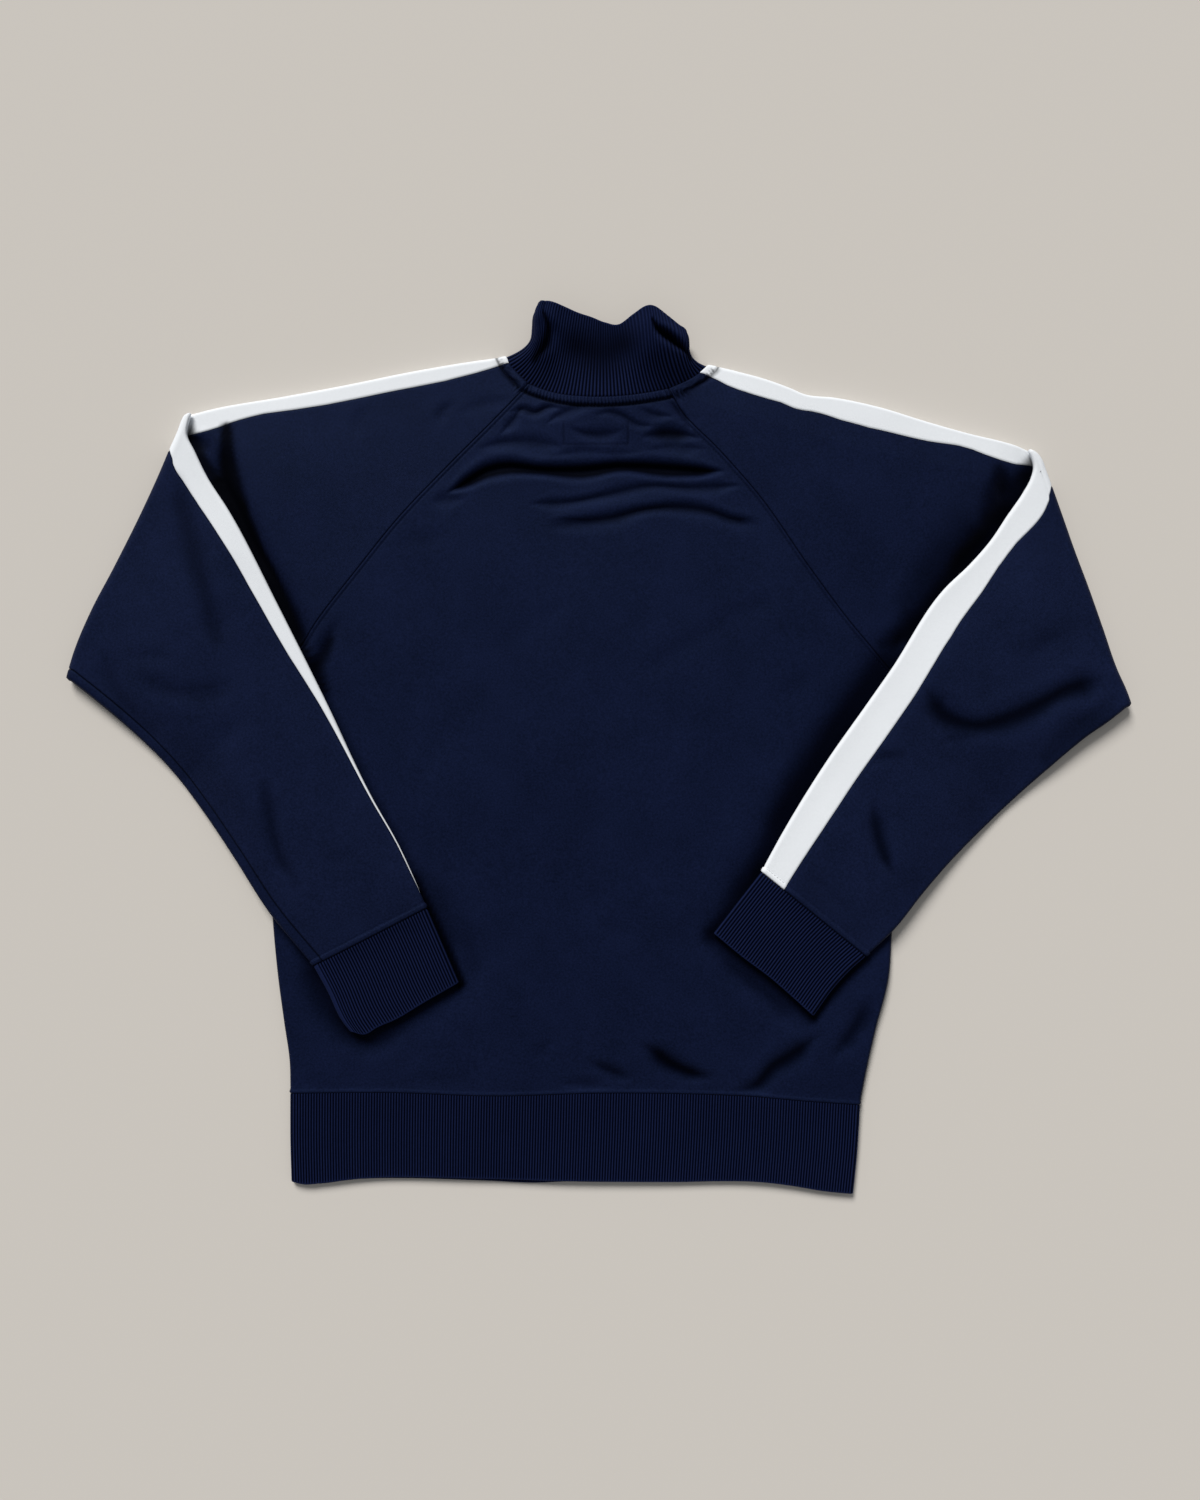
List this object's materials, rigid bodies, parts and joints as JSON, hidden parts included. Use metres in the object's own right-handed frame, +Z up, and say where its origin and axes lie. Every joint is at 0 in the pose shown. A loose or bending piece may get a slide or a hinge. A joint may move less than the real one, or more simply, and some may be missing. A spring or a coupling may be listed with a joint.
{
  "type": "track jacket",
  "caption": "Zip-front raglan track jacket in navy with a white stripe down each sleeve, lying face down with both sleeves folded over its back.",
  "frame": {"origin": "on the table under the middle of the jacket's bounding box", "axes": "+X to the right-hand side seen from above, +Y from the hem to the collar, +Z up"},
  "size_m": [0.8943, 0.7495, 0.028],
  "materials": {
    "navy_tricot": "smooth tricot with a faint sheen",
    "navy_rib": "matt rib knit",
    "white_tricot": "smooth tricot",
    "zip_tape": "woven tape with coil teeth",
    "zip_metal": "satin"
  },
  "bodies": {
    "jacket": {"back_panel": "navy_tricot", "front_left": "navy_tricot", "front_right": "navy_tricot", "sleeve_front_left": "navy_tricot", "sleeve_front_right": "navy_tricot", "sleeve_back_left": "navy_tricot", "sleeve_back_right": "navy_tricot", "stripe_left": "white_tricot", "stripe_right": "white_tricot", "cuff_left": "navy_rib", "cuff_right": "navy_rib", "hem_band": "navy_rib", "collar": "navy_rib", "zip_tape_left": "zip_tape", "zip_tape_right": "zip_tape", "zip_slider": "zip_metal"},
    "pull": {"zip_pull": "zip_metal"}
  },
  "joints": [
    {"name": "pull_hinge", "type": "hinge", "parent": "jacket", "child": "pull", "pos_m": [0.0044, 0.293, 0.00185], "axis": [1, 0, 0], "range_deg": [0, 170]}
  ]
}
